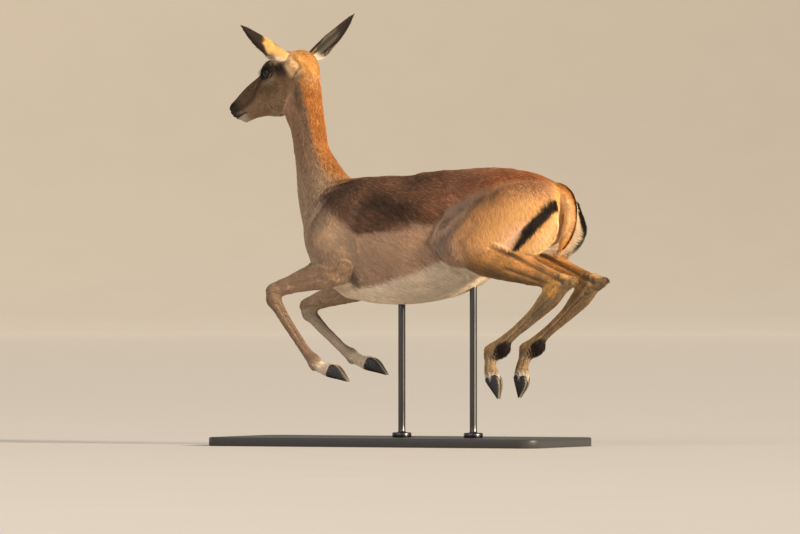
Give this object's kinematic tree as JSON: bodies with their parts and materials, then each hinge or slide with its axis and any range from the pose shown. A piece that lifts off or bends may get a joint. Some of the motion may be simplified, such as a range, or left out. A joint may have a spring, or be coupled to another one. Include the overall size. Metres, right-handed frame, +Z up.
{
  "type": "impala antelope",
  "caption": "Life-size leaping impala ewe with tucked legs, turned head and upright ears, held over a flat base by round rods.",
  "frame": {"origin": "middle of the stand base's underside, which lies on the floor", "axes": "-X towards the animal's head, +X towards its rump, -Y its left side, +Y its right side, +Z up"},
  "size_m": [1.0178, 0.3992, 1.0857],
  "materials": {
    "fur_tan": "short coat, light tan",
    "fur_brown": "short coat, reddish brown",
    "fur_grey": "short coat, grey brown",
    "fur_cream": "short coat, cream",
    "hoof": "dark horn, faint sheen",
    "eye": "dark, wet and glossy",
    "stand": "dark satin paint"
  },
  "bodies": {
    "root": {"ear_left": "fur_tan", "ear_right": "fur_tan", "eye_left": "eye", "eye_right": "eye", "fore_left_cannon": "fur_grey", "fore_left_claw_a": "hoof", "fore_left_claw_b": "hoof", "fore_left_foot": "fur_cream", "fore_right_cannon": "fur_grey", "fore_right_claw_a": "hoof", "fore_right_claw_b": "hoof", "fore_right_foot": "fur_cream", "forearm_left": "fur_tan", "forearm_right": "fur_tan", "gaskin_left": "fur_tan", "gaskin_right": "fur_tan", "head": "fur_grey", "hind_left_cannon": "fur_grey", "hind_left_claw_a": "hoof", "hind_left_claw_b": "hoof", "hind_left_foot": "fur_cream", "hind_right_cannon": "fur_grey", "hind_right_claw_a": "hoof", "hind_right_claw_b": "hoof", "hind_right_foot": "fur_cream", "neck": "fur_tan", "shoulder_left": "fur_tan", "shoulder_right": "fur_tan", "stand_base": "stand", "stand_rod_front": "stand", "stand_rod_rear": "stand", "tail": "fur_brown", "thigh_left": "fur_tan", "thigh_right": "fur_tan", "trunk": "fur_brown"}
  },
  "joints": []
}
